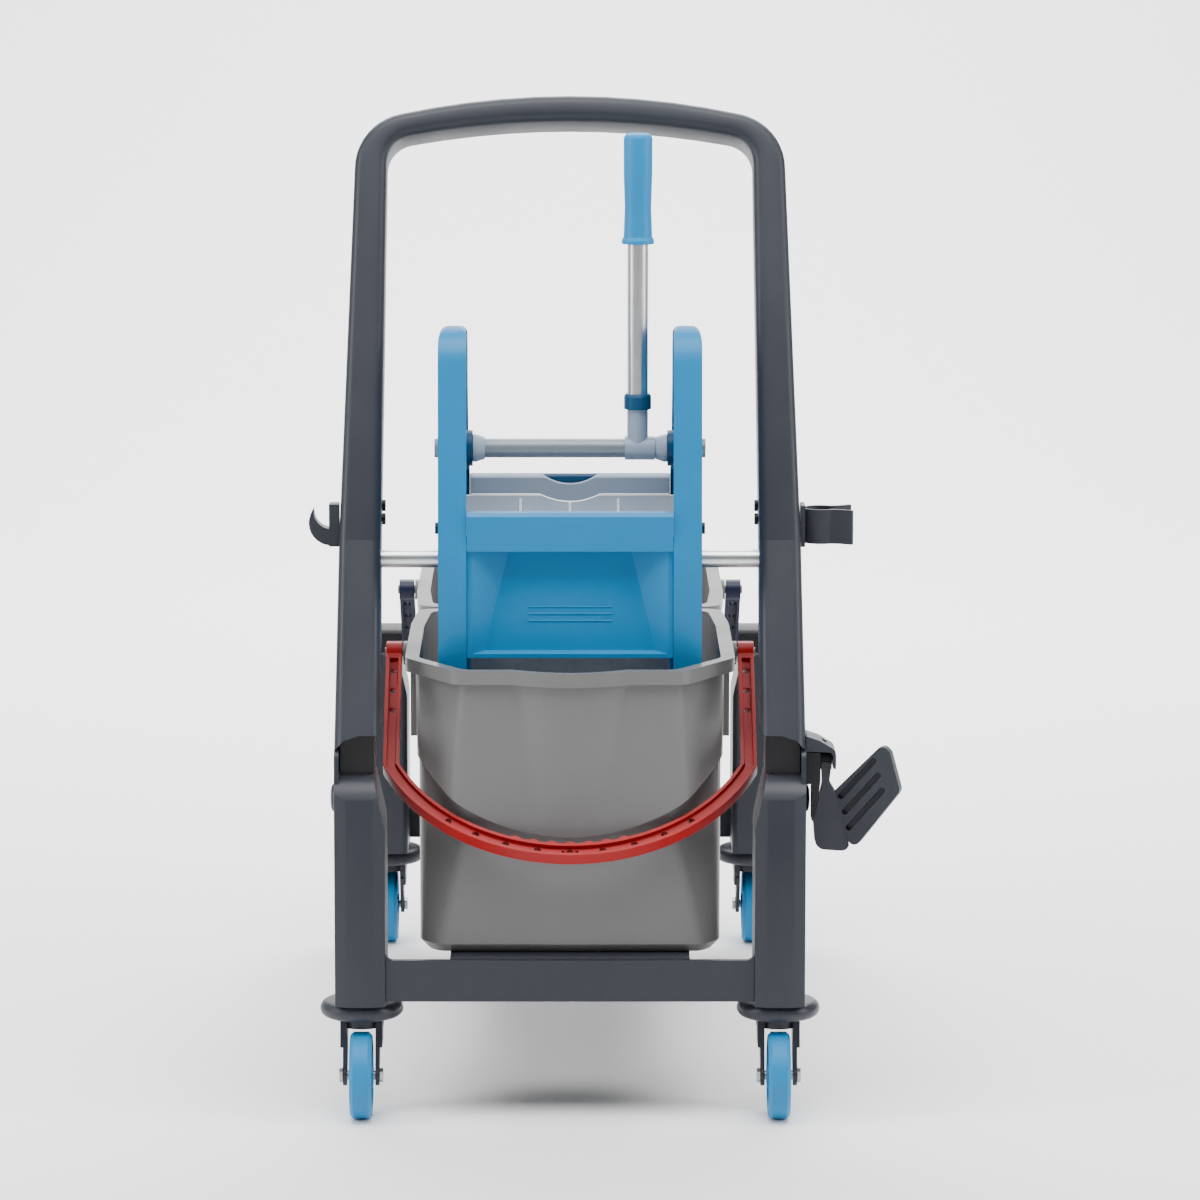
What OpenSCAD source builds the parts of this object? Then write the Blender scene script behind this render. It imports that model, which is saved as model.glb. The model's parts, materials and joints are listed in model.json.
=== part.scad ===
// Double-bucket mop trolley with a lever wringer.
// Z is up from the floor and Y runs along the cart, away from the handle end's wheels.
// The origin is on the floor under the middle of the whole cart's box.

/* [Node] */
// sub-part to build, or all of them

/* [Chassis] */
// distance between the near and far swivel axes
swivel_base = 676; // [660:1:720]
// distance between the left and right swivel axes
track = 360; // [358:1:364]
// height of the underside of the corner posts
chassis_z = 100; // [98:1:106]
// height of the corner posts' tops
post_top = 300; // [294:1:302]
// width of a corner post
post_w = 43.5; // [42:0.5:44]
// length of a corner post along the cart
post_l = 80; // [74:1:84]
// height of the cross beams and side rails
beam_h = 36; // [30:1:36]

/* [Casters] */
// wheel diameter
wheel_d = 75; // [72:1:76]
// wheel tread width
wheel_w = 19; // [18:0.5:20]
// horizontal distance from the swivel axis to the axle
trail = 22; // [18:1:26]
// bumper disc diameter
bumper_d = 72; // [66:1:76]

/* [Handle frame] */
// backward lean of the handle frame, in degrees
lean = 20; // [18:0.5:21]
// height of the handle's grip bar along the lean
arch_top = 597; // [570:1:620]
// half the outer width of the handle at its joint with the legs
arch_half = 200; // [198:0.5:202]
// half the outer width of the handle just below its corners
arch_neck = 189; // [186:0.5:192]
// depth of the handle's section
arch_depth = 48; // [42:1:50]
// position of the joint between handle and legs, along the lean
joint_at = 196; // [194:1:200]
// cross tube diameter
cross_d = 16; // [15:0.5:17]

/* [Buckets] */
// height of the bucket rim
rim_z = 390; // [384:1:394]
// half the width over the rim
rim_half = 143; // [140:0.5:143]
// length over the rim, without the spout
bucket_l = 350; // [344:1:351]
// how far the pouring spout stands out of the front
spout = 16; // [10:1:18]
// bucket wall thickness
wall = 3; // [2.5:0.5:4]

/* [Bails] */
// angle of a resting bail below the horizontal
bail_drop = 37; // [36:0.5:39]
// width of a bail's strip
bail_w = 14; // [13:0.5:15]
// thickness of a bail's strip
bail_t = 12; // [10:0.5:13]

/* [Wringer] */
// half the width over the cheeks
cheek_half = 113.5; // [112:0.5:114]
// width of the cheeks' inward flanges
flange_w = 24.5; // [23:0.5:26]
// height of the lever shaft
shaft_z = 569.5; // [566:0.5:571]
// lever shaft diameter
shaft_d = 16.5; // [15:0.5:18]
// radius of the cranks that drive the jaw
crank_r = 60; // [58:1:61]
// turn of the cranks to each side of straight down, in degrees
crank_swing = 35; // [32:1:36]

/* [Lever] */
// sideways position of the lever
lever_x = 58.5; // [45:0.5:64]
// height of the top of the grip
lever_top = 842; // [820:1:850]
// lever tube diameter
lever_d = 18; // [17.5:0.5:19]

/* [Hidden] */
$fn = 48;
// far axle, near axle and the middle of the cart, measured from the near axle
near_y = trail;
far_y = trail + swivel_base;
mid_y = (near_y + far_y) / 2;
half_track = track / 2;
wheel_r = wheel_d / 2;
axle_r = 4;
run = 0.05;
// the box's middle lies to the right of the symmetry plane, because of the pedal
hook_x = 207;
hook_r = 19.5;
hook_reach = hook_x + hook_r;
// pedal: the axis of its pin, and its tread turned towards the handle end
pedal_y = near_y + 2;
pedal_z = 309;
tread_x = 232;
tread_t = 9;
tread_turn = 18;
tread_pts = [[226.4, 283.3, 2], [267, 326.5, 5], [273.5, 320, 4], [282.5, 286.5, 7], [242, 231.5, 5]];
tread_max = max([for (p = rounded(tread_pts, 5)) p.x]);
pedal_reach = tread_max + tread_t * sin(tread_turn);
plane_x = (hook_reach - pedal_reach) / 2;
// corner posts
post_out = half_track + post_w / 2 + 0.25;
post_in = post_out - post_w;
post_near = near_y - 37;
stem_r = 5.5;
disc_z = chassis_z - 14.5;
beam_z = chassis_z + 4;
deck_z = beam_z + beam_h;
pad_z = deck_z + 3;
deck_half = 103;
boss_y = post_near + 47;
boss_z = post_top - 25;
// handle frame
lean_y = 34;
lean_z = 300;
leg_in = 163.8;
leg_foot_z = 322.5;
cross_at = joint_at - 11;
cross_y = lean_y + cross_at * sin(lean);
cross_z = lean_z + cross_at * cos(lean);
// buckets
bucket_z = pad_z + 0.5;
bucket_gap = 12;
bucket_near = mid_y - bucket_gap / 2 - bucket_l;
pivot_y = 171;
pivot_z = rim_z - 11;
lip_h = 12;
// the belly ends in an arc of this radius
belly_z = 245;
belly_r = 175;
// bails
bail_out = 162.2;
bail_in = bail_out - bail_w;
bail_arc_r = 171;
bail_arc_at = 68;
// wringer
shaft_y = 104;
plate_t = 4;
plate_in = cheek_half - plate_t;
flange_in = cheek_half - flange_w;
shaft_r = shaft_d / 2;
jaw_y = 118;
pin_y = shaft_y - crank_r * sin(crank_swing);
pin_z = shaft_z - crank_r * cos(crank_swing);
pin_low = shaft_z - crank_r;
pin_r = 6;
yoke_in = 101.5;
yoke_t = 5;
yoke_bottom = 490;
yoke_top = 535;
stroke = 2 * crank_r * sin(crank_swing);
wall_y = 201;
// colours
slate = [0.24, 0.26, 0.30];
sky = [0.0, 0.55, 0.76];
deep_blue = [0.03, 0.40, 0.60];
ash = [0.56, 0.57, 0.58];
pale = [0.66, 0.67, 0.68];
red = [0.75, 0.09, 0.11];
navy = [0.05, 0.07, 0.16];
black = [0.05, 0.05, 0.055];
silver = [0.75, 0.76, 0.78];

// ---------- helpers ----------

// puts pieces drawn from the near axle's middle into the shared frame
module cart() {
    translate([plane_x, -mid_y, 0])
        children();
}

// the same, mirrored to the left or right half (side is -1 or 1)
module on_side(side) {
    cart()
        scale_x(side)
            children();
}

module scale_x(side) {
    if (side < 0)
        mirror([1, 0, 0])
            children();
    else
        children();
}

// both halves at once
module both_sides() {
    for (side = [-1, 1])
        scale_x(side)
            children();
}

// turns the near end round to the far end
module at_far() {
    translate([0, 2 * mid_y, 0])
        mirror([0, 1, 0])
            children();
}

// extrudes an outline drawn in X and Z, centred on y = 0
module slab_y(t) {
    translate([0, t / 2, 0])
        rotate([90, 0, 0])
            linear_extrude(t)
                children();
}

// extrudes an outline drawn in Y and Z from x0 towards +X
module slab_x(x0, t) {
    translate([x0, 0, 0])
        rotate([90, 0, 90])
            linear_extrude(t)
                children();
}

// cylinder along X from x0 to x1 at a point in Y and Z
module rod_x(x0, x1, y, z, r) {
    translate([x0, y, z])
        rotate([0, 90, 0])
            cylinder(h = x1 - x0, r = r);
}

module rounded_rect(w, d, r) {
    square([w - 2 * r, d], center = true);
    square([w, d - 2 * r], center = true);
    for (x = [-1, 1], y = [-1, 1])
        translate([x * (w / 2 - r), y * (d / 2 - r)])
            circle(r);
}

// points along an arc
function arc(cx, cy, r, a0, a1, n) =
    [for (i = [0:n]) let (a = a0 + (a1 - a0) * i / n) [cx + r * cos(a), cy + r * sin(a)]];

function unit(v) = v / norm(v);

// arc that rounds the corner at p between its neighbours a and b
function corner(a, p, b, r, n) =
    let (
        u = unit(a - p),
        v = unit(b - p),
        half = acos(u * v) / 2,
        c = p + unit(u + v) * r / sin(half),
        s = p + u * r / tan(half) - c,
        e = p + v * r / tan(half) - c,
        a0 = atan2(s.y, s.x),
        turn = (atan2(e.y, e.x) - a0 + 900) % 360 - 180
    )
    [for (i = [0:n]) c + r * [cos(a0 + turn * i / n), sin(a0 + turn * i / n)]];

// outline with each corner rounded; pts are [x, y, radius]
function rounded(pts, n) =
    let (k = len(pts), p = [for (q = pts) [q.x, q.y]])
    [for (i = [0:k - 1]) each corner(p[(i + k - 1) % k], p[i], p[(i + 1) % k], pts[i][2], n)];

function middle(ring) = [for (p = ring) 1] * ring / len(ring);

// closed solid through rings of points, bottom ring first, capped round each end's middle
module loft(rings) {
    n = len(rings[0]);
    m = len(rings);
    sides = [
        for (i = [0:m - 2], j = [0:n - 1])
            let (k = (j + 1) % n)
            each [
                [i * n + j, (i + 1) * n + j, (i + 1) * n + k],
                [i * n + j, (i + 1) * n + k, i * n + k]
            ]
    ];
    bottom = [for (j = [0:n - 1]) [m * n, j, (j + 1) % n]];
    top = [for (j = [0:n - 1]) [m * n + 1, (m - 1) * n + (j + 1) % n, (m - 1) * n + j]];
    ends = [middle(rings[0]), middle(rings[m - 1])];
    polyhedron(points = concat([for (r = rings) each r], ends), faces = concat(bottom, sides, top));
}

// ---------- chassis ----------

// front view of an end beam, with a fillet against each post
module beam_outline() {
    r = 7;
    fillet = arc(post_in - r, deck_z + r, r, 0, -90, 5);
    polygon(concat([[-post_in, beam_z], [post_in, beam_z]], fillet, mirrored(concat(fillet, [[0, 0]]))));
}

// end beam between two posts, with the first part of the deck behind it
module end_beam() {
    y0 = post_near + 7;
    translate([0, y0 + 3.5, 0])
        slab_y(7)
            beam_outline();
    difference() {
        translate([-deck_half, y0 + 3, deck_z - 30])
            cube([2 * deck_half, 35, 33]);
        translate([-deck_half + 4, y0 + 7, deck_z - 31])
            cube([2 * deck_half - 8, 27, 31]);
    }
    for (x = [-66:33:66])
        translate([x - 1.5, y0 + 7, deck_z - 28])
            cube([3, 28, 29]);
}

module near_beam() {
    color(slate)
        cart()
            end_beam();
}

module far_beam() {
    color(slate)
        cart()
            at_far()
                end_beam();
}

// beam under the two buckets' meeting edges
module middle_beam() {
    color(slate)
        cart()
            difference() {
                translate([-deck_half + 41, mid_y - 34, deck_z - 30])
                    cube([2 * deck_half - 82, 68, 33]);
                translate([-deck_half + 45, mid_y - 30, deck_z - 31])
                    cube([2 * deck_half - 90, 60, 31]);
            }
}

// one of two rails under the buckets, open underneath, with cross ribs
module rail() {
    y0 = post_near + 45;
    l = 2 * (mid_y - y0);
    difference() {
        translate([deck_half - 41, y0, deck_z - 30])
            cube([41, l, 33]);
        translate([deck_half - 37, y0 + 4, deck_z - 31])
            cube([33, l - 8, 31]);
    }
    for (i = [1:11])
        translate([deck_half - 39, y0 + i * l / 12 - 1.5, deck_z - 28])
            cube([37, 3, 29]);
}

module left_rail() {
    color(slate)
        on_side(-1)
            rail();
}

module right_rail() {
    color(slate)
        on_side(1)
            rail();
}

// plan of a post, convex at the end of the cart
module post_plan(inset) {
    cx = (post_in + post_out) / 2;
    cy = post_near + post_l / 2;
    intersection() {
        translate([cx, cy])
            rounded_rect(post_w - 2 * inset, post_l - 2 * inset, 6 - inset / 2);
        translate([cx, post_near + 60])
            circle(60 - inset, $fn = 96);
    }
}

// front view of a post: its inner shoulder is cut back to clear the bail
module post_face() {
    polygon(rounded([
        [post_in, chassis_z, 1],
        [post_out, chassis_z, 1],
        [post_out, post_top, 4],
        [post_in + 10, post_top, 6],
        [post_in, post_top - 44, 60]
    ], 6));
}

// side view of a post, its top rounded over towards the end of the cart
module post_side() {
    polygon(rounded([
        [post_near - 1, chassis_z, 0.5],
        [post_near + post_l, chassis_z, 0.5],
        [post_near + post_l, post_top, 4],
        [post_near - 1, post_top, 30]
    ], 8));
}

module post_body() {
    difference() {
        intersection() {
            translate([0, 0, chassis_z])
                linear_extrude(post_top - chassis_z)
                    post_plan(0);
            translate([0, post_near + post_l / 2, 0])
                slab_y(post_l + 2)
                    post_face();
            slab_x(post_in - 1, post_w + 2)
                post_side();
        }
        // caster stem bore
        translate([half_track, near_y, chassis_z - 1])
            cylinder(h = 41, r = stem_r + run);
    }
}

// post at the handle end: a recess takes the leg's socket behind an outer wall
module post_near_end() {
    difference() {
        post_body();
        translate([post_in + 15, post_near + 22, post_top - 40])
            cube([post_w - 20, 50, 41]);
        rod_x(post_in + 7, post_out + 1, boss_y, boss_z, 6);
    }
    slab_x(post_out - 4, 4)
        polygon(rounded([
            [post_near + 9, post_top - 16, 1],
            [post_near + 70, post_top - 16, 1],
            [post_near + 70, post_top + 22, 4],
            [post_near + 14, post_top + 22, 10]
        ], 6));
}

module near_left_post() {
    color(slate)
        on_side(-1)
            post_near_end();
}

module near_right_post() {
    color(slate)
        on_side(1)
            post_near_end();
}

module far_left_post() {
    color(slate)
        on_side(-1)
            at_far()
                post_body();
}

module far_right_post() {
    color(slate)
        on_side(1)
            at_far()
                post_body();
}

// round bumpers between the posts and the casters
module bumper_discs() {
    edge = (chassis_z - disc_z) / 2;
    color(slate)
        cart()
            for (x = [-half_track, half_track], y = [near_y, far_y])
                translate([x, y, disc_z])
                    rotate_extrude($fn = 96) {
                        translate([stem_r + run, 0])
                            square([bumper_d / 2 - edge - stem_r - run, 2 * edge]);
                        intersection() {
                            translate([bumper_d / 2 - edge, edge])
                                circle(edge);
                            square([bumper_d, 2 * edge]);
                        }
                    }
}

// raised plugs in the tops of the far posts
module post_caps() {
    color(black)
        cart()
            both_sides()
                at_far()
                    intersection() {
                        translate([0, 0, post_top])
                            linear_extrude(22)
                                post_plan(2);
                        slab_x(post_in + 5.1, post_w)
                            polygon(rounded([
                                [post_near + 20, post_top - 1, 1],
                                [post_near + 76, post_top - 1, 1],
                                [post_near + 76, post_top + 22, 6],
                                [post_near + 20, post_top + 22, 14]
                            ], 5));
                    }
}

// ---------- handle frame ----------

// black inserts in the near posts that the legs stand on
module leg_sockets() {
    color(black)
        cart()
            both_sides()
                difference() {
                    union() {
                        translate([post_in + 15.4, post_near + 22.4, post_top - 38])
                            cube([post_w - 20.8, 49.2, 38]);
                        translate([0, post_near + 49.5, 0])
                            slab_y(49)
                                polygon([
                                    [leg_in + 4, post_top], [post_out - 4.5, post_top],
                                    [post_out - 4.5, post_top + 23.5], [193.2, post_top + 29.4],
                                    [181, post_top + 33.4], [leg_in + 4, post_top + 33.4]
                                ]);
                    }
                    rod_x(post_in - 1, post_out + 1, boss_y, boss_z, 6);
                }
}

// bolts that hold the sockets in the posts, domed heads outwards
module leg_bolts() {
    color(slate)
        cart()
            both_sides() {
                rod_x(post_in + 8, post_out + 0.2, boss_y, boss_z, 5.8);
                translate([post_out + 0.2, boss_y, boss_z])
                    rotate([0, 90, 0])
                        rotate_extrude()
                            polygon([[0, 0], [12.3, 0], [12.3, 1.2], [11.2, 2.8], [8, 3.9], [0, 4.4]]);
            }
}

// section between an outer and an inner point of the handle's plane
function section(o, i, hd, r) =
    let (c = (o + i) / 2, e = unit(o - i), h = norm(o - i) / 2)
    [for (q = rounded([[h, hd, r], [-h, hd, r], [-h, -hd, r], [h, -hd, r]], 4))
        [c.x + e.x * q.x, q.y, c.y + e.y * q.x]];

// a leg grows wider towards its foot, which steps over the socket
module leg() {
    difference() {
        intersection() {
            leaning()
                loft([
                    section([post_out, 0], [leg_in, 0], arch_depth / 2 + 19.2, 8),
                    section([arch_half, joint_at], [leg_in, joint_at], arch_depth / 2, 8)
                ]);
            translate([0, 70, 0])
                slab_y(220)
                    polygon([
                        [leg_in - 5, leg_foot_z + 11.5], [181, leg_foot_z + 11.5], [193.5, leg_foot_z + 7.5],
                        [200.8, leg_foot_z], [post_out + 8, leg_foot_z],
                        [post_out + 8, 520], [leg_in - 5, 520]
                    ]);
        }
        rod_x(leg_in - 1, arch_half - 10, cross_y, cross_z, cross_d / 2 + run);
    }
}

module left_leg() {
    color(slate)
        on_side(-1)
            leg();
}

module right_leg() {
    color(slate)
        on_side(1)
            leg();
}

// puts a piece drawn upright into the leaning handle plane
module leaning() {
    translate([0, lean_y, lean_z])
        rotate([-lean, 0, 0])
            children();
}

// half of the handle's outline: crown, corner and side
function crown(top, r_crown, side, r, n) =
    let (
        cy = top - r_crown,
        cx = side - r,
        rise = sqrt(pow(r_crown - r, 2) - cx * cx),
        a = atan2(rise, cx)
    )
    concat(
        arc(cx, cy + rise, r, 0, a, n),
        [for (i = [1:5]) let (b = a + (90 - a) * i / 5) [r_crown * cos(b), cy + r_crown * sin(b)]]
    );

function mirrored(p) = [for (i = [len(p) - 2:-1:0]) [-p[i].x, p[i].y]];

// the handle swept as one loft, right joint over the crown to the left joint
module handle_arch() {
    outer = concat([[arch_half, joint_at]], crown(arch_top, 690, arch_neck, 50, 10));
    inner = concat([[leg_in, joint_at]], crown(arch_top - 23, 765, leg_in - 3, 26, 10));
    right = [for (i = [0:len(outer) - 1]) section(outer[i], inner[i], arch_depth / 2, 8)];
    left = [for (i = [len(right) - 2:-1:0]) [for (p = right[i]) [-p.x, p.y, p.z]]];
    color(slate)
        cart()
            leaning()
                difference() {
                    loft(concat(right, left));
                    // screw seats on the inner faces
                    for (s = [joint_at + 24, joint_at + 36])
                        both_sides()
                            rod_x(leg_in - 4, leg_in + 8, 0, s, 3.05);
                }
}

module arch_screws() {
    color(black)
        cart()
            leaning()
                both_sides()
                    for (s = [joint_at + 24, joint_at + 36]) {
                        rod_x(leg_in - 1.6, leg_in + 7, 0, s, 3);
                        rod_x(leg_in - 3.6, leg_in - 0.6, 0, s, 5);
                    }
}

module cross_tube() {
    color(silver)
        cart()
            difference() {
                rod_x(-arch_half + 11, arch_half - 11, cross_y, cross_z, cross_d / 2);
                rod_x(-arch_half, arch_half, cross_y, cross_z, cross_d / 2 - 1.5);
            }
}

// J-shaped hook on the left side of the joint
module hook() {
    color(slate)
        on_side(-1)
            translate([0, 102, 0])
                slab_y(16) {
                    translate([arch_half + 0.2, 484.5])
                        square([8.8, 37]);
                    intersection() {
                        difference() {
                            translate([hook_x, 505])
                                circle(hook_r);
                            translate([hook_x, 515])
                                circle(15);
                        }
                        translate([hook_x, 480])
                            square([30, 37]);
                    }
                }
}

clip_x = 217.5;
clip_y = 108;
clip_z = 487;
clip_h = 30;
clip_r = 13;

// spring clip for a mop handle, open to the right between two flared lips
module handle_clip() {
    color(slate)
        cart()
            translate([clip_x, clip_y, clip_z]) {
                linear_extrude(clip_h)
                    difference() {
                        union() {
                            circle(clip_r + 3, $fn = 72);
                            translate([arch_half + 0.2 - clip_x, -9])
                                square([10, 18]);
                            for (side = [-1, 1])
                                scale_y(side)
                                    polygon([
                                        [8, 9], [11, 9.2], [19, 12], [28, 18],
                                        [26.5, 20.5], [17, 15.2], [8, 13.6]
                                    ]);
                        }
                        circle(clip_r, $fn = 72);
                        translate([0, -9])
                            square([40, 18]);
                    }
                translate([arch_half + 0.2 - clip_x, -13, -3])
                    cube([3.8, 26, clip_h + 6]);
            }
}

module scale_y(side) {
    if (side < 0)
        mirror([0, 1, 0])
            children();
    else
        children();
}

// ---------- buckets ----------

function lerp(a, b, t) = a + (b - a) * t;

// even below the spout the front wall is slightly bowed
crowning = 0.8;

// plan of a bucket at a height. From the corners' start `flat` the front runs back by
// `cham` to the sides; in its middle a spout of half width w stands out by b.
function bucket_ring(half, flat, front, cham, back, w, b, z, inset) =
    let (
        h = half - inset,
        f = flat - 0.55 * inset,
        y = front + inset,
        c = cham - 0.7 * inset,
        k = back - inset,
        s = w - 0.58 * inset,
        p = rounded([
            [f, y, 14], [h, y + c, 24], [h, k - 90, 60], [h - 5, k, 16],
            [-h + 5, k, 16], [-h, k - 90, 60], [-h, y + c, 24], [-f, y, 14]
        ], 3)
    )
    [for (q = concat(p, [for (i = [-4:4]) [s * i / 4, y - b * (1 - i * i / 16)]])) [q.x, q.y, z]];

// ring of the belly under the rim, where the spout grows out of the front
function upper_ring(u, inset) =
    let (v = max(0, (u - 0.1) / 0.9))
    bucket_ring(
        lerp(131.5, 134, u), lerp(103, 92, u), lerp(3, 5, u), lerp(50, 66, u), bucket_l - 8,
        50 * pow(u, 0.3), crowning + spout * (1 - pow(1 - v, 2)), lerp(240, rim_z, u), inset
    );

function lower_ring(z, front, inset) =
    let (t = (z - bucket_z) / (312 - bucket_z))
    bucket_ring(
        lerp(129.5, 131, t), lerp(116, 90, min(1, t / 0.6)), front, lerp(20, 52, t), bucket_l - 12,
        40, crowning, z, inset
    );

// straight lower part of a bucket; up raises the foot of the inner copy
module trunk(inset, up) {
    loft([
        lower_ring(bucket_z + up, 4, inset + 7),
        lower_ring(151 + up, 4, inset),
        lower_ring(170 + up, 7, inset),
        lower_ring(245, 12, inset),
        lower_ring(312, 12, inset)
    ]);
}

// wider upper part, rounded over underneath
module belly(inset, r, top) {
    intersection() {
        loft(concat(
            [for (u = [0.02, 0.1, 0.17, 0.33, 0.6]) upper_ring(u, inset)],
            [[for (p = upper_ring(1, inset)) p + [0, 0, top]]]
        ));
        translate([0, bucket_l / 2, 420])
            rotate([90, 0, 0])
                translate([0, 0, -bucket_l])
                    cylinder(h = 2 * bucket_l, r = r, $fn = 120);
    }
}

module rim_shape(inset) {
    polygon([for (p = bucket_ring(rim_half, 99, 0, 72, bucket_l, 52, spout, 0, inset)) [p.x, p.y]]);
}

module bucket() {
    difference() {
        union() {
            trunk(0, 0);
            belly(0, belly_r, 0);
            // rolled rim, hollow underneath
            difference() {
                translate([0, 0, rim_z - lip_h])
                    linear_extrude(lip_h)
                        rim_shape(0);
                translate([0, 0, rim_z - lip_h - 1])
                    linear_extrude(lip_h - 2)
                        rim_shape(2.5);
            }
            // bosses and pins for the bail, on ribs
            both_sides() {
                rod_x(120, bail_in - 1, pivot_y, pivot_z, 9.5);
                rod_x(120, bail_out + 1.5, pivot_y, pivot_z, 4);
                translate([120, pivot_y - 8, 305])
                    cube([21, 16, pivot_z - 305]);
            }
        }
        trunk(wall, wall);
        belly(wall, belly_r - wall, 1);
    }
}

module near_bucket() {
    color(ash)
        cart()
            translate([0, bucket_near, 0])
                bucket();
}

module far_bucket() {
    color(ash)
        cart()
            at_far()
                translate([0, bucket_near, 0])
                    bucket();
}

// U shape in the bail's own plane, inset from its edges
module bail_shape(inset) {
    difference() {
        intersection() {
            translate([0, bail_arc_at])
                circle(bail_arc_r + bail_w / 2 - inset, $fn = 120);
            translate([-bail_out + inset, inset])
                square([2 * (bail_out - inset), 260]);
        }
        intersection() {
            translate([0, bail_arc_at])
                circle(bail_arc_r - bail_w / 2 + inset, $fn = 120);
            translate([-bail_in - inset, -20])
                square([2 * (bail_in + inset), 280]);
        }
        translate([-bail_in - inset, -1])
            square([2 * (bail_in + inset), 30]);
    }
}

// scallops for the fingers on the inside of the loop
module finger_bumps() {
    for (i = [-3:3])
        translate([0, bail_arc_at])
            rotate(i * 5.4)
                translate([0, bail_arc_r - bail_w / 2 + 4])
                    circle(6, $fn = 32);
}

// bail lying in the plane z = 0, pivot on the X axis, loop towards -Y
module bail() {
    difference() {
        union() {
            mirror([0, 1, 0])
                difference() {
                    translate([0, 0, -bail_t / 2])
                        linear_extrude(bail_t) {
                            bail_shape(0);
                            finger_bumps();
                        }
                    for (z = [2.2, -bail_t / 2 - 1])
                        translate([0, 0, z])
                            linear_extrude(bail_t / 2 - 1.2)
                                difference() {
                                    bail_shape(3.2);
                                    translate([-200, -1])
                                        square([400, 14]);
                                }
                    // row of holes along the arms and round the loop
                    for (side = [-1, 1], y = [25, 49, 73])
                        translate([side * (bail_out - bail_w / 2), y, -bail_t])
                            cylinder(h = 2 * bail_t, r = 3, $fn = 24);
                    for (i = [-4:4])
                        translate([0, bail_arc_at, -bail_t])
                            rotate([0, 0, i * 9.4])
                                translate([0, bail_arc_r, 0])
                                    cylinder(h = 2 * bail_t, r = 3, $fn = 24);
                }
            both_sides()
                rod_x(bail_in, bail_out, 0, 0, 9.5);
        }
        both_sides()
            rod_x(bail_in - 1, bail_out + 1, 0, 0, 4 + run);
    }
}

module hung_bail() {
    translate([0, bucket_near + pivot_y, pivot_z])
        rotate([bail_drop, 0, 0])
            bail();
}

module near_bail() {
    color(red)
        cart()
            hung_bail();
}

module far_bail() {
    color(navy)
        cart()
            at_far()
                hung_bail();
}

// ---------- wringer ----------

// side view of a cheek, with the slot that drops over the cross tube
module cheek_side(inset) {
    difference() {
        polygon(rounded([
            [52 + inset, 330 + inset, 8],
            [222 - inset, 330 + inset, 10],
            [222 - inset, 540 - inset, 12],
            [168, 548 - inset, 30],
            [139 - inset, 620, 30],
            [136 - inset, 676 - inset, 34 - inset],
            [66 + inset, 676 - inset, 34 - inset],
            [45 + inset, 480, 30]
        ], 6));
        translate([cross_y - 9.5 - inset, 300])
            square([19 + 2 * inset, cross_z + 8.5 - 300 + inset]);
    }
}

// front view of a cheek, its top corners rounded over
module cheek_face(x0, x1, top, r_in, r_out) {
    polygon(rounded([[x0, 320, 0.5], [x1, 320, 0.5], [x1, top, r_out], [x0, top, r_in]], 6));
}

module cheek() {
    difference() {
        intersection() {
            slab_x(flange_in, flange_w)
                cheek_side(0);
            translate([0, 130, 0])
                slab_y(260)
                    cheek_face(flange_in, cheek_half, 676, 8, 11);
        }
        // the tray opens towards the inside
        intersection() {
            slab_x(flange_in - 1, flange_w - plate_t + 1)
                cheek_side(3.6);
            translate([0, 130, 0])
                slab_y(260)
                    cheek_face(flange_in - 1, plate_in, 672.4, 0.5, 7);
        }
        rod_x(flange_in, cheek_half + 1, shaft_y, shaft_z, shaft_r + run);
    }
    // ribs that guide the jaw's yoke
    for (z = [yoke_bottom - 4.6, yoke_top + 0.6])
        translate([yoke_in - 0.4, 62, z])
            cube([plate_in - yoke_in + 1.4, 150, 4]);
}

module left_cheek() {
    color(sky)
        on_side(-1)
            cheek();
}

module right_cheek() {
    color(sky)
        on_side(1)
            cheek();
}

// section of an opening: half widths at its lower and upper edge
function opening(y_top, y_bottom, top, bottom, z0, z1) =
    [[-bottom, y_bottom, z0], [bottom, y_bottom, z0], [top, y_top, z1], [-top, y_top, z1]];

// front crossbar over a hopper with sloped sides and three drip wires
module front_panel() {
    color(sky)
        cart() {
            difference() {
                slab_x(-flange_in + 0.3, 2 * flange_in - 0.6)
                    polygon([
                        [46, 487], [46, 517], [49, 520], [63, 520],
                        [67, 516], [72, 488], [63, 394], [49, 394], [49, 487]
                    ]);
                loft([opening(66, 55, 53, 73.5, 400, 484), opening(48, 48, 86, 86, 397, 486.5)]);
            }
            for (z = [425, 431, 437])
                rod_x(-36, 36, 55.2 + (z - 400) * 0.131, z, 0.9);
        }
}

// fixed wall that the mop is pressed against
module rear_wall() {
    color(ash)
        cart()
            difference() {
                slab_x(-flange_in + 0.5, 2 * flange_in - 1)
                    polygon([
                        [wall_y, 348], [wall_y, 531], [wall_y + 2, 533],
                        [wall_y + 8, 533], [wall_y + 8, 348]
                    ]);
                translate([0, wall_y - 1, 566.6])
                    rotate([-90, 0, 0])
                        cylinder(h = 12, r = 41.3, $fn = 96);
                for (x = [-66:22:66], z = [380, 420, 460])
                    translate([x, wall_y - 1, z])
                        rotate([-90, 0, 0])
                            cylinder(h = 12, r = 4, $fn = 24);
            }
}

module rear_bar() {
    color(deep_blue)
        cart()
            slab_x(-flange_in + 0.3, 2 * flange_in - 0.6)
                polygon([[210, 498], [210, 531], [212, 533], [217, 533], [219, 531], [219, 498]]);
}

module drain_grate() {
    color(ash)
        cart()
            difference() {
                translate([-plate_in + 0.5, 112, 338])
                    cube([2 * plate_in - 1, 104, 6]);
                for (x = [-96:16:96])
                    for (y = [126:16:206])
                        translate([x, y, 337])
                            cylinder(h = 8, r = 4.5, $fn = 24);
            }
}

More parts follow.
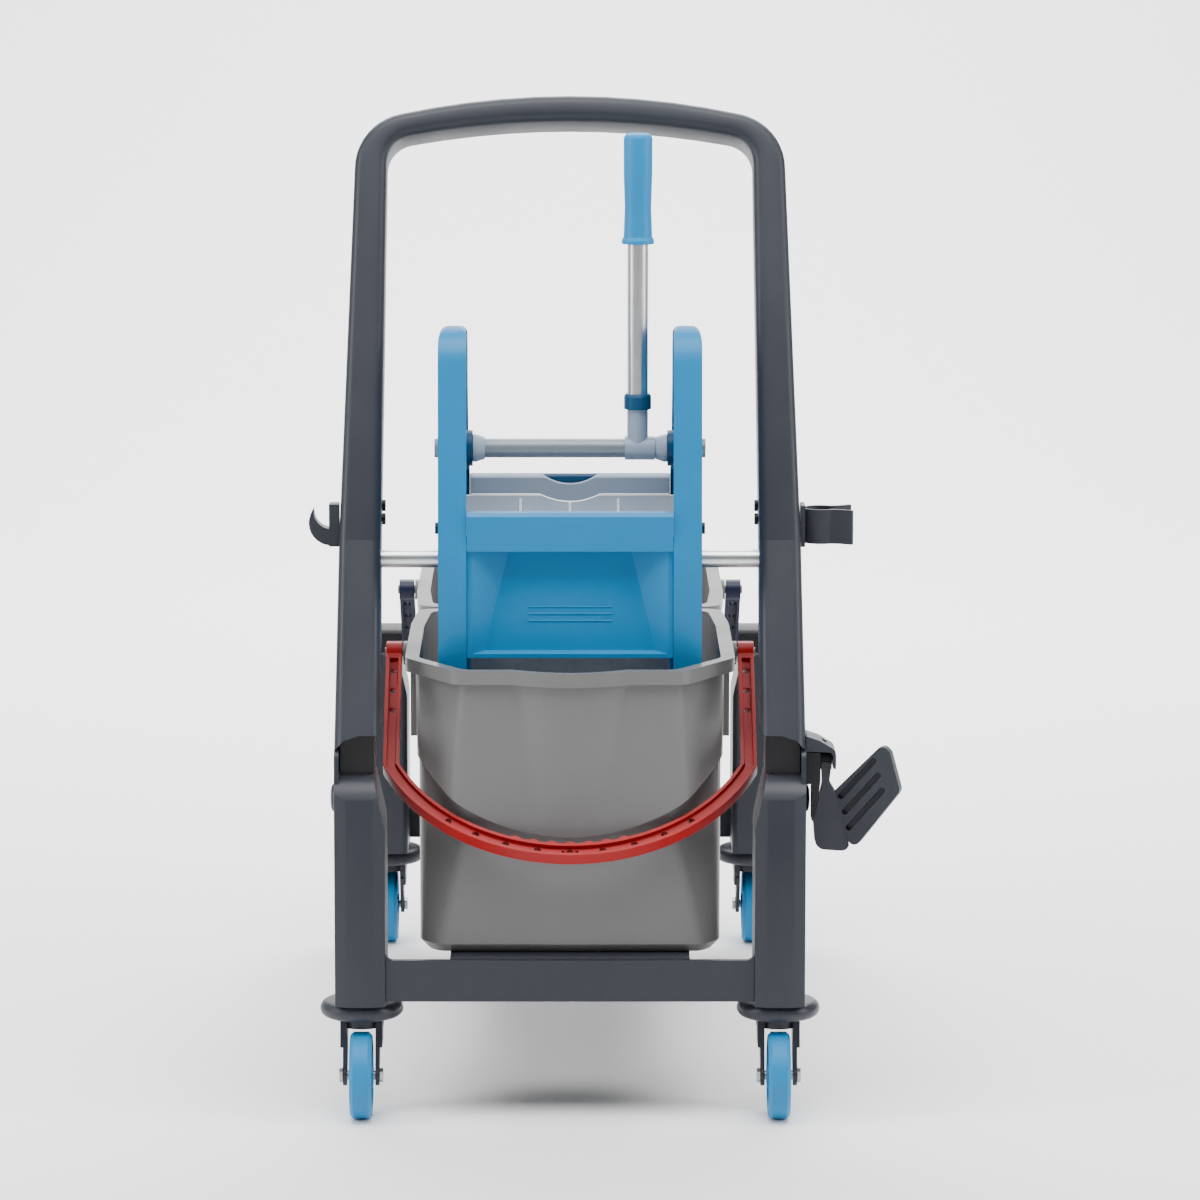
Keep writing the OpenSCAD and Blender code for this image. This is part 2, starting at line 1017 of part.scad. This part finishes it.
// screws through the cheeks into the crossbars
module tie_screws() {
    color(black)
        cart()
            both_sides()
                for (p = [[56, 506], [214, 514]])
                    rod_x(cheek_half + 0.1, cheek_half + 2.6, p[0], p[1], 5);
}

// moving plate with the slotted yokes that the cranks drive
module jaw() {
    color(pale)
        cart()
            difference() {
                union() {
                    slab_x(-flange_in + 3, 2 * flange_in - 6)
                        polygon([
                            [jaw_y, 360], [jaw_y, 522], [jaw_y + 2, 527],
                            [jaw_y + 6, 527], [jaw_y + 6, 360]
                        ]);
                    for (x = [-68:17:68])
                        translate([x - 1.5, jaw_y + 5, 366])
                            cube([3, 4, 150]);
                    // gussets on the side the cranks push from
                    for (x = [-43, 0, 42])
                        slab_x(x - 1.2, 2.4)
                            polygon([
                                [jaw_y + 1, 366], [jaw_y - 9, 372],
                                [jaw_y - 9, 512], [jaw_y + 1, 525]
                            ]);
                    translate([-yoke_in - yoke_t, jaw_y, yoke_bottom])
                        cube([2 * (yoke_in + yoke_t), 6, yoke_top - yoke_bottom - 9]);
                    both_sides()
                        translate([yoke_in, 57.5, yoke_bottom])
                            cube([yoke_t, jaw_y + 6 - 57.5, yoke_top - yoke_bottom]);
                }
                both_sides()
                    slab_x(yoke_in - 1, yoke_t + 2)
                        translate([pin_y, (pin_low + pin_z) / 2])
                            rounded_rect(2 * pin_r + 2.4, pin_z - pin_low + 2 * pin_r + 3, pin_r + 1.19);
                translate([0, jaw_y - 10, 575.7])
                    rotate([-90, 0, 0])
                        cylinder(h = 24, r = 55.2, $fn = 96);
            }
}

module lever_shaft() {
    color(ash)
        cart()
            difference() {
                rod_x(-cheek_half - 4, cheek_half + 4, shaft_y, shaft_z, shaft_r);
                rod_x(-cheek_half - 5, cheek_half + 5, shaft_y, shaft_z, shaft_r - 2);
            }
}

module shaft_cones() {
    color(ash)
        cart()
            both_sides()
                translate([73.6, shaft_y, shaft_z])
                    rotate([0, 90, 0])
                        rotate_extrude()
                            polygon([
                                [shaft_r + 0.1, 0], [shaft_r + 1.2, 0], [12, 8],
                                [12, 10.6], [shaft_r + 0.1, 10.6]
                            ]);
}

// two cranks with their drive pins
module cranks() {
    color(deep_blue)
        cart()
            both_sides() {
                difference() {
                    union() {
                        slab_x(yoke_in - 8, 6) {
                            translate([shaft_y, shaft_z])
                                circle(17);
                            translate([pin_y, pin_z])
                                circle(10);
                            translate([shaft_y, shaft_z])
                                rotate(-90 - crank_swing)
                                    translate([0, -9])
                                        square([crank_r, 18]);
                        }
                        rod_x(flange_in - 4.7, 94, shaft_y, shaft_z, 15.5);
                    }
                    rod_x(flange_in - 9, yoke_in, shaft_y, shaft_z, shaft_r + 0.1);
                }
                rod_x(yoke_in - 4, plate_in - 1, pin_y, pin_z, pin_r);
            }
}

// cross sleeve on the shaft with the spigot that carries the lever
module lever_socket() {
    color(ash)
        cart()
            difference() {
                union() {
                    rod_x(lever_x - 11, lever_x + 14.9, shaft_y, shaft_z, 10.2);
                    translate([lever_x, shaft_y, shaft_z]) {
                        cylinder(h = 34, r = lever_d / 2);
                        cylinder(h = 60, r = lever_d / 2 - 1.6);
                    }
                }
                rod_x(lever_x - 16, lever_x + 22, shaft_y, shaft_z, shaft_r + 0.1);
            }
}

module lever_collar() {
    color(deep_blue)
        cart()
            translate([lever_x, shaft_y, shaft_z + 34.1])
                rotate_extrude()
                    polygon([
                        [lever_d / 2 + 0.1, 0], [11.8, 0], [11.8, 11],
                        [10.6, 13.4], [lever_d / 2 + 0.1, 13.4]
                    ]);
}

module lever_tube() {
    color(silver)
        cart()
            translate([lever_x, shaft_y, shaft_z + 34.1])
                difference() {
                    cylinder(h = lever_top - shaft_z - 40.1, r = lever_d / 2);
                    translate([0, 0, -1])
                        cylinder(h = 320, r = lever_d / 2 - 1.5);
                }
}

module lever_grip() {
    h = 95;
    r = 12.4;
    color(sky)
        cart()
            translate([lever_x, shaft_y, lever_top - h])
                rotate_extrude()
                    polygon(concat(
                        [[lever_d / 2 + 0.1, 0], [14, 0], [14, 3], [r, 6], [r - 0.9, 30], [r, 60]],
                        arc(r - 5, h - 5, 5, 0, 90, 6),
                        [[0, h], [0, h - 5], [lever_d / 2 + 0.1, h - 5]]
                    ));
}

// ---------- pedal ----------

// visor over the pedal's pin, open underneath
module pedal_bracket() {
    color(slate)
        cart()
            translate([0, pedal_y, 0])
                difference() {
                    slab_y(34)
                        polygon(rounded([
                            [post_out + 0.2, 333, 1], [post_out + 0.2, 320, 1], [225.4, 318.5, 3],
                            [225.4, 304.5, 0.8], [228, 304.5, 0.8], [228, 320.5, 7], [214, 329, 12]
                        ], 5));
                    translate([216.5, -6, 321])
                        cube([4, 12, 12]);
                    rod_x(224, 230, 0, pedal_z, 3 + run);
                }
}

// block on the post that carries the pin
module latch_block() {
    color(black)
        cart()
            translate([0, pedal_y, 0])
                difference() {
                    slab_y(22)
                        polygon([
                            [post_out + 0.2, 318], [post_out + 0.2, 290], [207.4, 290], [207.4, 258],
                            [208.4, 258], [211.8, 272], [215, 292], [215, 318]
                        ]);
                    rod_x(post_out, 216, 0, pedal_z, 3 + run);
                }
}

module pedal_pin() {
    color(silver)
        cart()
            rod_x(202.5, 227.8, pedal_y, pedal_z, 3);
}

// tread plate facing the handle end, with three foot grooves
module tread() {
    rotate([0, 0, -tread_turn])
        translate([0, tread_t / 2, 0])
            difference() {
                slab_y(tread_t)
                    polygon([for (p = rounded(tread_pts, 5)) [(p.x - tread_x) / cos(tread_turn), p.y]]);
                for (k = [0:2])
                    groove(
                        [(0.5 + 3.4 * k) / cos(tread_turn), 279.5 - 13.5 * k],
                        [(28 + 3.6 * k) / cos(tread_turn), 312 - 12.8 * k]
                    );
            }
}

// round-ended groove between two points of the tread's face
module groove(a, b) {
    e = unit(b - a) * 2.6;
    n = [-e.y, e.x];
    translate([0, -tread_t / 2 + 2, 0])
        slab_y(5) {
            translate(a)
                circle(2.6, $fn = 24);
            translate(b)
                circle(2.6, $fn = 24);
            polygon([a + n, b + n, b - n, a - n]);
        }
}

// arm that hangs from the pin and carries the tread
module pedal() {
    color(slate)
        cart()
            translate([0, pedal_y, 0])
                difference() {
                    union() {
                        translate([0, -2, 0])
                            slab_y(14)
                                polygon(rounded([
                                    [215.6, 309, 1], [216.6, 290, 20], [209, 258, 12], [211, 233, 9],
                                    [242, 231, 6], [228, 283, 3], [222.6, 292, 8], [224.8, 309, 1]
                                ], 4));
                        translate([tread_x, -9, 0])
                            tread();
                        rod_x(215.4, 224.8, 0, pedal_z, 7.5);
                    }
                    rod_x(214, 226, 0, pedal_z, 3 + run);
                }
}

// ---------- casters ----------

// puts a caster drawn with its swivel axis on Z and its wheel towards -Y
module caster_at(side, far) {
    on_side(side)
        translate([half_track, far ? far_y : near_y, 0])
            mirror_y(far)
                children();
}

module mirror_y(flip) {
    if (flip)
        mirror([0, 1, 0])
            children();
    else
        children();
}

module fork() {
    arm = wheel_w / 2 + 2.8;
    difference() {
        union() {
            both_sides() {
                slab_x(arm, 3.4) {
                    polygon([[-29, wheel_r + 6], [-14, wheel_r - 7], [16, 70], [-20, 74]]);
                    translate([-trail, wheel_r])
                        circle(9);
                }
                slab_x(arm, 5.8)
                    polygon([[-23, 62], [8, 62], [17, 76], [17, disc_z - 0.5], [-18, disc_z - 0.5]]);
            }
            translate([0, 0, wheel_d + 2])
                cylinder(h = disc_z - 0.5 - wheel_d - 2, r = 19);
            translate([0, 0, disc_z - 3])
                cylinder(h = 42, r = stem_r);
        }
        rod_x(-40, 40, -trail, wheel_r, axle_r + run);
    }
}

// axle bolt with a hexagon head and nut
module axle() {
    reach = wheel_w / 2 + 6.2;
    rod_x(-reach - 0.2, reach + 0.2, -trail, wheel_r, axle_r);
    both_sides()
        translate([reach + 0.1, -trail, wheel_r])
            rotate([0, 90, 0])
                cylinder(h = 3.2, r = 6.5, $fn = 6);
}

// hub and tread turned in one profile
module wheel() {
    w = wheel_w / 2;
    r = wheel_r;
    translate([0, -trail, r])
        rotate([0, 90, 0])
            rotate_extrude($fn = 96)
                polygon([
                    [axle_r + run, -w - 1], [11, -w - 1], [11, -w + 4], [r - 11, -w + 4],
                    [r - 9, -w], [r - 3, -w], [r, -w + 3], [r, w - 3], [r - 3, w],
                    [r - 9, w], [r - 11, w - 4], [11, w - 4], [11, w + 1], [axle_r + run, w + 1]
                ]);
}

module near_left_fork() {
    color(slate)
        caster_at(-1, false)
            fork();
}

module near_right_fork() {
    color(slate)
        caster_at(1, false)
            fork();
}

module far_left_fork() {
    color(slate)
        caster_at(-1, true)
            fork();
}

module far_right_fork() {
    color(slate)
        caster_at(1, true)
            fork();
}

module near_left_axle() {
    color(silver)
        caster_at(-1, false)
            axle();
}

module near_right_axle() {
    color(silver)
        caster_at(1, false)
            axle();
}

module far_left_axle() {
    color(silver)
        caster_at(-1, true)
            axle();
}

module far_right_axle() {
    color(silver)
        caster_at(1, true)
            axle();
}

module near_left_wheel() {
    color(sky)
        caster_at(-1, false)
            wheel();
}

module near_right_wheel() {
    color(sky)
        caster_at(1, false)
            wheel();
}

module far_left_wheel() {
    color(sky)
        caster_at(-1, true)
            wheel();
}

module far_right_wheel() {
    color(sky)
        caster_at(1, true)
            wheel();
}

near_beam();
far_beam();
middle_beam();
left_rail();
right_rail();
near_left_post();
near_right_post();
far_left_post();
far_right_post();
bumper_discs();
post_caps();
leg_sockets();
leg_bolts();
left_leg();
right_leg();
handle_arch();
cross_tube();
arch_screws();
hook();
handle_clip();
near_bucket();
near_bail();
far_bucket();
far_bail();
left_cheek();
right_cheek();
front_panel();
rear_wall();
rear_bar();
drain_grate();
tie_screws();
jaw();
lever_shaft();
shaft_cones();
cranks();
lever_socket();
lever_collar();
lever_tube();
lever_grip();
pedal_bracket();
latch_block();
pedal_pin();
pedal();
near_left_fork();
near_left_axle();
near_left_wheel();
near_right_fork();
near_right_axle();
near_right_wheel();
far_left_fork();
far_left_axle();
far_left_wheel();
far_right_fork();
far_right_axle();
far_right_wheel();
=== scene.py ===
import json
import math

import bpy
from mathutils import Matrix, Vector


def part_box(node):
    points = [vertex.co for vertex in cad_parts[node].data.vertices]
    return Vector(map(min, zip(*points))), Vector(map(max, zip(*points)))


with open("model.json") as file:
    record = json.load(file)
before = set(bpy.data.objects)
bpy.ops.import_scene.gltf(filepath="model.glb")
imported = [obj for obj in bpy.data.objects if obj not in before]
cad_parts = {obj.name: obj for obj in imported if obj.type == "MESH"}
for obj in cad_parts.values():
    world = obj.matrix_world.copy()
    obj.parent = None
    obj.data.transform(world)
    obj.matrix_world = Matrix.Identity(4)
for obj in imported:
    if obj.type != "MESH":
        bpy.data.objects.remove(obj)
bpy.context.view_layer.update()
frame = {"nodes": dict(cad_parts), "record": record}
NODES = frame["nodes"]
SLOTS = {s["node"]: s["material_slot"] for s in frame["record"]["subparts"]}

# ---------- places read from the frame ----------

LEFT_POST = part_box("near_left_post")
RIGHT_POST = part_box("near_right_post")
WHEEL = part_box("near_left_wheel")
# the cart's plane of symmetry, and the line of the near wheels' axles
PLANE_X = (LEFT_POST[0].x + RIGHT_POST[1].x) / 2
NEAR_Y = (WHEEL[0].y + WHEEL[1].y) / 2

# ---------- materials ----------

# sockets of a Mix node for colours, whose names it shares with its other types
MIX_FACTOR, MIX_A, MIX_B, MIX_RESULT = 0, 6, 7, 2

NOISE_LOW, NOISE_HIGH = 0.3, 0.7      # the span that broad noise is spread over
SCUFF_LOW, SCUFF_HIGH = 0.62, 0.78    # scratch noise shows only as scattered marks
ROUGH_SPREAD = 0.07                   # how far roughness wanders to each side
ROUGH_MIN = 0.02
WORN_GAIN, WORN_LIFT = 1.6, 0.05      # a scuff is a lighter shade of the base colour
GRAIN_DEPTH = 0.0004


def add_node(tree, kind, values=None, **settings):
    """A new node with its settings, and values for its unlinked inputs."""
    node = tree.nodes.new(kind)
    for key, setting in settings.items():
        setattr(node, key, setting)
    for key, value in (values or {}).items():
        node.inputs[key].default_value = value
    return node


def noise(tree, vector, scale, detail, roughness=0.5):
    values = {"Scale": scale, "Detail": detail, "Roughness": roughness}
    node = add_node(tree, "ShaderNodeTexNoise", values)
    tree.links.new(vector, node.inputs["Vector"])
    return node.outputs["Fac"]


def spread(tree, value, start, end):
    """Maps a value from the span start to the span end."""
    values = {"From Min": start[0], "From Max": start[1], "To Min": end[0], "To Max": end[1]}
    node = add_node(tree, "ShaderNodeMapRange", values)
    tree.links.new(value, node.inputs["Value"])
    return node.outputs["Result"]


def surface(name, colour, rough, metallic=0.0, grain=900.0, bump=0.08, mottle=0.06,
            brushed=(1.0, 1.0, 1.0), scuff=0.12):
    """A shader with fine grain, soft mottling, roughness variation and light scuffs."""
    material = bpy.data.materials.new(name)
    material.use_nodes = True
    t = material.node_tree
    t.nodes.clear()
    link = t.links.new
    out = add_node(t, "ShaderNodeOutputMaterial")
    bsdf = add_node(t, "ShaderNodeBsdfPrincipled",
                    {"Metallic": metallic, "Specular IOR Level": 0.3})
    link(bsdf.outputs["BSDF"], out.inputs["Surface"])

    coord = add_node(t, "ShaderNodeTexCoord").outputs["Object"]
    stretch = add_node(t, "ShaderNodeMapping", {"Scale": brushed})
    link(coord, stretch.inputs["Vector"])
    fine = noise(t, stretch.outputs["Vector"], grain, 3.0)
    broad = noise(t, coord, 9.0, 6.0)
    scratch = noise(t, coord, 55.0, 9.0, roughness=0.75)
    marks = spread(t, scratch, (SCUFF_LOW, SCUFF_HIGH), (0.0, scuff))

    shade = spread(t, broad, (NOISE_LOW, NOISE_HIGH), (1.0 - mottle, 1.0 + mottle))
    tone = add_node(t, "ShaderNodeVectorMath", {0: colour}, operation="SCALE")
    link(shade, tone.inputs["Scale"])
    lighter = [min(1.0, c * WORN_GAIN + WORN_LIFT) for c in colour]
    worn = add_node(t, "ShaderNodeMix", {MIX_B: (*lighter, 1.0)}, data_type="RGBA")
    link(marks, worn.inputs[MIX_FACTOR])
    link(tone.outputs["Vector"], worn.inputs[MIX_A])
    link(worn.outputs[MIX_RESULT], bsdf.inputs["Base Color"])

    dull = spread(t, broad, (NOISE_LOW, NOISE_HIGH),
                  (max(ROUGH_MIN, rough - ROUGH_SPREAD), rough + ROUGH_SPREAD))
    duller = add_node(t, "ShaderNodeMath", operation="ADD")
    link(dull, duller.inputs[0])
    link(marks, duller.inputs[1])
    link(duller.outputs["Value"], bsdf.inputs["Roughness"])

    relief = add_node(t, "ShaderNodeBump", {"Strength": bump, "Distance": GRAIN_DEPTH})
    link(fine, relief.inputs["Height"])
    link(relief.outputs["Normal"], bsdf.inputs["Normal"])
    return material


LOOKS = {
    "slate_plastic": dict(colour=(0.023, 0.026, 0.035), rough=0.42, bump=0.22, grain=1400.0),
    # black_plastic is the real black of the black parts; on the leg spigots it is painted
    # shade, as they are the leg's dark grey in a shaded recess
    "black_plastic": dict(colour=(0.008, 0.008, 0.010), rough=0.45),
    "black_steel": dict(colour=(0.012, 0.012, 0.013), rough=0.38, metallic=0.6),
    "aluminium_tube": dict(colour=(0.66, 0.67, 0.68), rough=0.32, metallic=1.0, grain=260.0,
                           brushed=(6.0, 6.0, 0.4), bump=0.10),
    "zinc_steel": dict(colour=(0.40, 0.40, 0.39), rough=0.33, metallic=1.0),
    "grey_bucket": dict(colour=(0.140, 0.139, 0.140), rough=0.38, mottle=0.03, scuff=0.06),
    "red_bail": dict(colour=(0.29, 0.001, 0.002), rough=0.40, mottle=0.05),
    # navy_bail: the far bail is blue; this dark navy is that blue with painted shade in it
    "navy_bail": dict(colour=(0.006, 0.009, 0.032), rough=0.40),
    "blue_plastic": dict(colour=(0.0, 0.170, 0.39), rough=0.45, mottle=0.03, scuff=0.04),
    # teal_plastic is blue_plastic darkened to about a third: painted shade for blue parts that
    # sit in shadow
    "teal_plastic": dict(colour=(0.0, 0.050, 0.12), rough=0.45, scuff=0.04),
    "blue_grip": dict(colour=(0.0, 0.190, 0.43), rough=0.45, grain=500.0, bump=0.2, scuff=0.04),
    "blue_tread": dict(colour=(0.0, 0.190, 0.43), rough=0.50, bump=0.2, scuff=0.05),
    "grey_plastic": dict(colour=(0.25, 0.31, 0.40), rough=0.42),
    "pale_plastic": dict(colour=(0.85, 0.86, 0.88), rough=0.40),
    "grey_steel": dict(colour=(0.20, 0.23, 0.27), rough=0.42, metallic=0.3),
}
MATERIALS = {slot: surface(slot + "_look", **look) for slot, look in LOOKS.items()}

# ---------- edges ----------

# bevel widths in metres; the lofted nodes have their rounding in the solid itself
LOFTED = {"handle_arch", "left_leg", "right_leg", "near_bucket", "far_bucket"}
SMALL_EDGE = 0.0006
EDGE = {
    "left_cheek": 0.0018, "right_cheek": 0.0018, "near_bail": 0.0010, "far_bail": 0.0010,
    "pedal": 0.0012, "lever_grip": 0.001, "near_beam": 0.0022, "far_beam": 0.0022,
    "hook": 0.0012, "handle_clip": 0.0008,
}
BEVEL_ANGLE = math.radians(33)
WELD_DISTANCE = 0.00002


def keep_sharp(limit):
    """Geometry nodes that weld the CAD faces and keep only edges over the limit sharp."""
    group = bpy.data.node_groups.new("weld_and_smooth", "GeometryNodeTree")
    for in_out in ("INPUT", "OUTPUT"):
        group.interface.new_socket("Geometry", in_out=in_out, socket_type="NodeSocketGeometry")
    link = group.links.new
    start = add_node(group, "NodeGroupInput")
    end = add_node(group, "NodeGroupOutput")
    weld = add_node(group, "GeometryNodeMergeByDistance", {"Distance": WELD_DISTANCE})
    angle = add_node(group, "GeometryNodeInputMeshEdgeAngle")
    over = add_node(group, "ShaderNodeMath", {1: math.radians(limit)}, operation="GREATER_THAN")
    normal = add_node(group, "GeometryNodeSetMeshNormal", mode="SHARPNESS")
    normal.inputs["Remove Custom"].default_value = True
    link(start.outputs[0], weld.inputs["Geometry"])
    link(angle.outputs["Unsigned Angle"], over.inputs[0])
    link(weld.outputs["Geometry"], normal.inputs["Mesh"])
    link(over.outputs[0], normal.inputs["Edge Sharpness"])
    link(normal.outputs["Mesh"], end.inputs[0])
    return group


# Lofted nodes are faceted, so wider steps are smoothed on them than on the exact ones. The
# hopper's sides meet its front at about 21 degrees, so front_panel keeps lower steps sharp.
KEEP_SHARP = {"lofted": keep_sharp(33), "exact": keep_sharp(20), "panel": keep_sharp(12)}


def finish_node(name, obj):
    """Gives a CAD node its material, welded faces and small bevels."""
    obj.data.materials.clear()
    obj.data.materials.append(MATERIALS[SLOTS[name]])
    kind = "lofted" if name in LOFTED else "panel" if name == "front_panel" else "exact"
    obj.modifiers.new("weld", "NODES").node_group = KEEP_SHARP[kind]
    if name in LOFTED:
        return
    edge = obj.modifiers.new("edges", "BEVEL")
    edge.width = EDGE.get(name, SMALL_EDGE)
    edge.segments = 2
    edge.limit_method = "ANGLE"
    edge.angle_limit = BEVEL_ANGLE
    edge.harden_normals = True


for node_name, node_object in NODES.items():
    finish_node(node_name, node_object)

# ---------- stage ----------

FLOOR_SIDE = 9.0      # from the middle to each edge of the paper
WALL_TOP = 9.0
SWEEP_START = 3.0     # where the paper begins to curve up behind the cart
SWEEP_RADIUS = 3.0
SWEEP_STEPS = 15


def studio_floor():
    """One sheet: a floor that sweeps up into a wall behind the object."""
    profile = [(-FLOOR_SIDE, 0.0), (SWEEP_START, 0.0)]
    for i in range(1, SWEEP_STEPS + 1):
        a = math.radians(90 / SWEEP_STEPS * i)
        profile.append((SWEEP_START + SWEEP_RADIUS * math.sin(a),
                        SWEEP_RADIUS - SWEEP_RADIUS * math.cos(a)))
    profile.append((SWEEP_START + SWEEP_RADIUS, WALL_TOP))
    verts = [(x, y, z) for y, z in profile for x in (-FLOOR_SIDE, FLOOR_SIDE)]
    faces = [(2 * i, 2 * i + 1, 2 * i + 3, 2 * i + 2) for i in range(len(profile) - 1)]
    mesh = bpy.data.meshes.new("studio_floor")
    mesh.from_pydata(verts, [], faces)
    for polygon in mesh.polygons:
        polygon.use_smooth = True
    obj = bpy.data.objects.new("studio_floor", mesh)
    bpy.context.scene.collection.objects.link(obj)
    paper = bpy.data.materials.new("studio_paper")
    paper.use_nodes = True
    bsdf = paper.node_tree.nodes["Principled BSDF"]
    bsdf.inputs["Base Color"].default_value = (0.93, 0.93, 0.93, 1.0)
    bsdf.inputs["Roughness"].default_value = 0.85
    obj.data.materials.append(paper)


def area_light(name, place, aim, size, power):
    data = bpy.data.lights.new(name, "AREA")
    data.shape = "RECTANGLE"
    data.size, data.size_y = size
    data.energy = power
    obj = bpy.data.objects.new(name, data)
    bpy.context.scene.collection.objects.link(obj)
    obj.location = place
    obj.rotation_euler = (Vector(aim) - Vector(place)).to_track_quat("-Z", "Y").to_euler()


studio_floor()
area_light("left_strip", (-2.3, -0.9, 1.5), (0, 0, 0.5), (0.7, 2.2), 52)
area_light("right_strip", (2.3, -0.9, 1.5), (0, 0, 0.5), (0.7, 2.2), 44)
area_light("top", (0, -1.0, 3.0), (0, 0, 0.2), (2.4, 2.0), 130)
area_light("backdrop", (0, 2.6, 3.2), (0, 3.6, 0), (4.0, 3.0), 460)

world = bpy.data.worlds.new("studio_world")
bpy.context.scene.world = world
world.use_nodes = True
background = world.node_tree.nodes["Background"]
background.inputs["Color"].default_value = (1.0, 1.0, 1.0, 1.0)
background.inputs["Strength"].default_value = 0.26

# ---------- camera ----------

CAMERA_BACK = 4.6       # in front of the near axles
CAMERA_HEIGHT = 1.156
CAMERA_PITCH = 8.70     # degrees down
camera_data = bpy.data.cameras.new("camera")
camera_data.sensor_width = 36.0
camera_data.lens = 164.0
camera_data.shift_x = 0.025
camera = bpy.data.objects.new("camera", camera_data)
bpy.context.scene.collection.objects.link(camera)
camera.location = (PLANE_X, NEAR_Y - CAMERA_BACK, CAMERA_HEIGHT)
camera.rotation_euler = (math.radians(90 - CAMERA_PITCH), 0, 0)
bpy.context.scene.camera = camera
